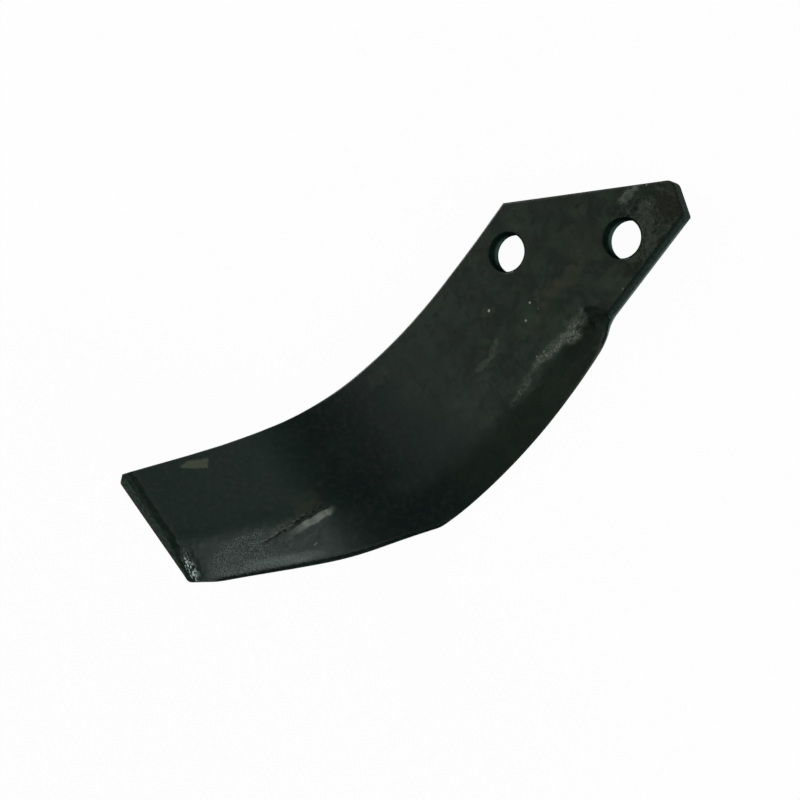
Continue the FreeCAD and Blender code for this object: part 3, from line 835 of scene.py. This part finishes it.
# Bright specks: x, y, radius in mm and strength
SPECKS = ((-37.7, -25.1, 0.8, 0.8), (-17.1, -23.4, 0.65, 0.7), (-19.3, -31.1, 0.65, 0.7),
          (-12.9, -26.5, 0.5, 0.2), (51.6, 6.4, 0.8, 0.5), (52.2, 14.4, 0.6, 0.2),
          (40.1, 21.4, 0.6, 0.3), (41.4, 13.0, 0.6, 0.2), (-119.3, -130.3, 0.55, 0.22),
          (-119.9, -131.1, 0.55, 0.22), (27.7, -21.6, 0.7, 0.2), (-14.4, -47.3, 0.7, 0.25),
          (-10.9, -45.4, 0.6, 0.25), (-9.9, -47.2, 0.6, 0.2))
for x, y, radius, strength in SPECKS:
    colour = coat(colour, speck(x, y, radius), strength, (0.40, 0.38, 0.30))
feed(surface.inputs["Base Color"], colour)

rough = times_plus(patches, -0.25, 0.46)
rough = times_plus(smears, -0.06, rough)
rough = times_plus(larger(larger(brown, pale), patch), 0.16, rough)
rough = times_plus(mark("ridge"), 0.12, rough)
rough = times_plus(mark("hammered"), 0.10, rough)
rough = times_plus(mark("gloss"), -0.03, rough)
rough = times_plus(larger(larger(groove, mark("rim")), mark("end_edge")), 0.45, rough)
feed(surface.inputs["Roughness"], rough)
surface.inputs["Specular IOR Level"].default_value = 0.32


def bumpy(surface, height, distance):
    """Makes a surface uneven by a height that stands for a distance in metres."""
    bump = node("Bump")
    bump.inputs["Distance"].default_value = distance
    feed(bump.inputs["Height"], height)
    feed(surface.inputs["Normal"], bump.outputs["Normal"])


height = times(lumps(0.9, 3, 0.6, 0.0, 1.3), 0.014)
height = times_plus(fine, 0.030, height)
height = times_plus(patches, 0.050, height)
struck = larger(larger(mark("hammered"), times(mark("scuffs_and_highlight"), 0.5)), times(mark("welt"), 0.4))
height = times_plus(times(lumps(0.7, 2, 0.55, 0.2, 4.4), struck), 0.12, height)
height = times_plus(times(lumps(1.5, 2, 0.5, 1.0, 1.9), mark("chips_and_glints")), 0.55, height)
bumpy(surface, height, 0.001)


def dull_paint(name, dark, light, size, low, high, shine=0.04, painted_light=None):
    """Thin dull paint of the sheared walls and the punched bores, with dark and light clouds.

    With painted light given, it is darker towards the front as painted shade, and pales to a lit shade
    of its own, between two depths, east of a line and south of one.
    """
    made = bpy.data.materials.new(name)
    dull = start_nodes(made)["Principled BSDF"]
    skin.data.materials.append(made)
    place = attribute("bar_place", "Vector")
    clouds = cloud(place, 1000 / size, 5, 0.62)
    share = ramp(clouds, low, high, kind="LINEAR")
    if painted_light:
        shade, from_depth, to_depth, west, north = painted_light
        split = node("SeparateXYZ")
        feed(split.inputs[0], place)
        x, y, z = split.outputs
        # Painted shade: darker towards the front edge
        share = times(ramp(z, 0.001, 0.005, 0.40, kind="LINEAR"), share)
        # Painted light: paler on the sides that face the lamps
        southwards = ramp(y, north, north - 0.007)
        eastwards = ramp(x, west, west + 0.02, kind="LINEAR")
        pale = times(times(ramp(z, from_depth, to_depth), southwards), eastwards)
    clouded = tint(share, dark, light)
    feed(dull.inputs["Base Color"], tint(pale, clouded, shade) if painted_light else clouded)
    bumpy(dull, clouds, 0.0002)
    dull.inputs["Roughness"].default_value = 0.68
    dull.inputs["Specular IOR Level"].default_value = shine


# The slots of the paints, in the order in which they are made
BLACK, BORE, WALL, END, RIM, NOSE, STAIN, EDGE = range(8)
# The bore and wall paints carry painted light where they face the lamps and painted shade near the front
dull_paint("bore_paint", (0.0015, 0.0045, 0.0036), (0.0075, 0.0170, 0.0135), 2.0, 0.35, 0.65, shine=0.0,
           painted_light=((0.085, 0.150, 0.130), 0.0032, 0.0074, -1.0, 0.012))
dull_paint("wall_paint", (0.0015, 0.0060, 0.0050), (0.0170, 0.0290, 0.0240), 1.3, 0.40, 0.60,
           painted_light=((0.095, 0.120, 0.112), 0.0045, 0.0072, 0.0, 0.007))
dull_paint("end_paint", (0.0120, 0.0220, 0.0170), (0.0600, 0.0800, 0.0660), 1.4, 0.38, 0.62)
# Dull dark paints that stand in as painted shade: the rim, nose and edge paints
dull_paint("rim_shade_paint", (0.0015, 0.0050, 0.0040), (0.0065, 0.0120, 0.0095), 2.4, 0.35, 0.65)
dull_paint("nose_shade_paint", (0.0080, 0.0115, 0.0088), (0.0150, 0.0200, 0.0155), 3.0, 0.35, 0.65)
dull_paint("stain_paint", (0.0040, 0.0054, 0.0020), (0.0130, 0.0152, 0.0072), 1.3, 0.38, 0.64, shine=0.17)
dull_paint("edge_shade_paint", (0.0050, 0.0100, 0.0072), (0.0105, 0.0180, 0.0136), 2.4, 0.35, 0.65)

# Which paint each face has. The first strips of a rounded edge belong to the face beside it, and
# each hole keeps the black paint round part of its first strip
END_FROM = 233.5
SHANK_FROM, STAIN_FROM = 20, 26
FACE_STRIPS = 2
BLACK_POINTS = slice(15, 58)
crumbs = lumpy(0.5, 81)


def face_slot(ids):
    """The paint of a face of the hollow side or the back, by the marks at its corners."""
    def mean(name):
        return marks[name][ids].mean()

    crumbled = crumbs[ids].mean()
    # Painted shade: dark dull paints on the groove, the rims, the cut end's front edge and the nose
    if max(mean("groove"), mean("rim")) > 0.62:
        return EDGE if flat[ids, 0].min() > SHANK_FROM else RIM
    if mean("end_edge") + 0.12 * crumbled > 0.6:
        return EDGE
    if mean("nose") + 0.25 * uneven[ids].mean() > 0.5:
        return NOSE
    if mean("dark") + 0.8 * crumbled > 0.66 and flat[ids, 0].min() > STAIN_FROM:
        return STAIN
    return BLACK


slots = np.full(len(faces), BORE, np.int32)
# Painted shade: the first strips of each bore take the dark rim paint
for start in bore_starts:
    slots[start:start + FACE_STRIPS * HOLE_POINTS] = RIM
    slots[start:start + HOLE_POINTS][BLACK_POINTS] = BLACK
for i, face in enumerate(faces):
    ids = list(face)
    if FACE_STRIPS * len(outline) <= i < wall_end:
        slots[i] = END if u[ids].min() > END_FROM else WALL
    elif not wall_end <= i < bore_end:
        slots[i] = face_slot(ids)
mesh.polygons.foreach_set("material_index", slots)
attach(skin, "root")
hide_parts("blade")

# The floor, white to the camera and in reflections, and pale grey to the light
FLOOR_HALF, FLOOR_DOWN = 20, 0.0005
WHITE_SHARE = 0.97
corners = [(x * FLOOR_HALF, y * FLOOR_HALF, -FLOOR_DOWN) for x, y in ((-1, -1), (1, -1), (1, 1), (-1, 1))]
sheet = bpy.data.meshes.new("floor")
sheet.from_pydata(corners, [], [(0, 1, 2, 3)])
floor = bpy.data.objects.new("floor", sheet)
bpy.context.collection.objects.link(floor)
ground = bpy.data.materials.new("pale_floor")
floor.data.materials.append(ground)
made_of = start_nodes(ground)
matt, ground_end = made_of["Principled BSDF"], made_of["Material Output"]
matt.inputs["Base Color"].default_value = (0.85, 0.85, 0.85, 1)
matt.inputs["Roughness"].default_value = 0.9
matt.inputs["Specular IOR Level"].default_value = 0.0
glow = node("Emission")
glow.inputs["Color"].default_value = (1, 1, 1, 1)
glow.inputs["Strength"].default_value = 1.0
rays = node("LightPath")
seen = 0.0
for kind in ("Is Camera Ray", "Is Glossy Ray", "Is Transmission Ray"):
    seen = sums("MULTIPLY_ADD", rays.outputs[kind], WHITE_SHARE, seen, clamp=True)
blend = node("MixShader")
for socket, value in zip(blend.inputs, (seen, matt.outputs[0], glow.outputs[0])):
    feed(socket, value)
feed(ground_end.inputs["Surface"], blend.outputs[0])

# The room, a little brighter towards its horizon
world = bpy.data.worlds.new("room")
bpy.context.scene.world = world
back = start_nodes(world)["Background"]
split = node("SeparateXYZ")
feed(split.inputs[0], node("TexCoord").outputs["Generated"])
risen = ramp(split.outputs["Z"], 0.0, 0.55)
feed(back.inputs["Color"], tint(risen, (0.13, 0.18, 0.165), (0.045, 0.065, 0.058)))
back.inputs["Strength"].default_value = 1.0

# Lamps: the way towards each from the blade's middle, distance and side in metres, watts, colour
MIDDLE = Vector((-0.07, -0.06, 0.02))
LAMPS = (("front_light", (0.85, -0.40, 0.34), 1.4, 0.6, 14, (1, 1, 1)),
         ("rear_light", (-0.69, 0.58, 0.42), 1.4, 0.7, 14, (1, 1, 1)),
         ("top_panel", (-0.44, -0.04, 0.90), 1.3, 0.6, 0.36, (0.80, 1.0, 0.95)),
         ("top_light", (-0.27, -0.16, 0.95), 1.3, 0.14, 0.13, (0.85, 1.0, 0.97)),
         ("side_panel", (0.853, 0.451, 0.264), 1.3, 0.5, 0.60, (0.90, 1.0, 0.96)),
         ("side_light", (0.935, 0.24, 0.26), 1.3, 0.3, 2.75, (0.95, 1.0, 0.97)))
for name, toward, far, size, power, tone in LAMPS:
    light = bpy.data.lights.new(name, "AREA")
    light.shape = "RECTANGLE"
    light.size = light.size_y = size
    light.energy = power
    light.color = tone
    lamp = bpy.data.objects.new(name, light)
    toward = Vector(toward).normalized()
    lamp.location = MIDDLE + toward * far
    lamp.rotation_euler = (-toward).to_track_quat("-Z", "Y").to_euler()
    lamp.visible_camera = False
    bpy.context.collection.objects.link(lamp)

# Where the camera stood in metres, and its turns about X, Y and Z in degrees, from the outline and
# the two round holes of the photograph
CAMERA_PLACE = (0.353608, -0.130396, 0.695991)
CAMERA_TURNS = (4.0382, 32.6388, -1.4536)
lens = bpy.data.cameras.new("camera")
lens.sensor_width = 36
lens.lens = 81
lens.shift_x, lens.shift_y = 0.0002, -0.0004
lens.clip_start, lens.clip_end = 0.01, 50
camera = bpy.data.objects.new("camera", lens)
camera.location = CAMERA_PLACE
camera.rotation_euler = [math.radians(turn) for turn in CAMERA_TURNS]
bpy.context.collection.objects.link(camera)
bpy.context.scene.camera = camera
bpy.context.scene.view_settings.view_transform = "Standard"

bpy.context.view_layer.update()
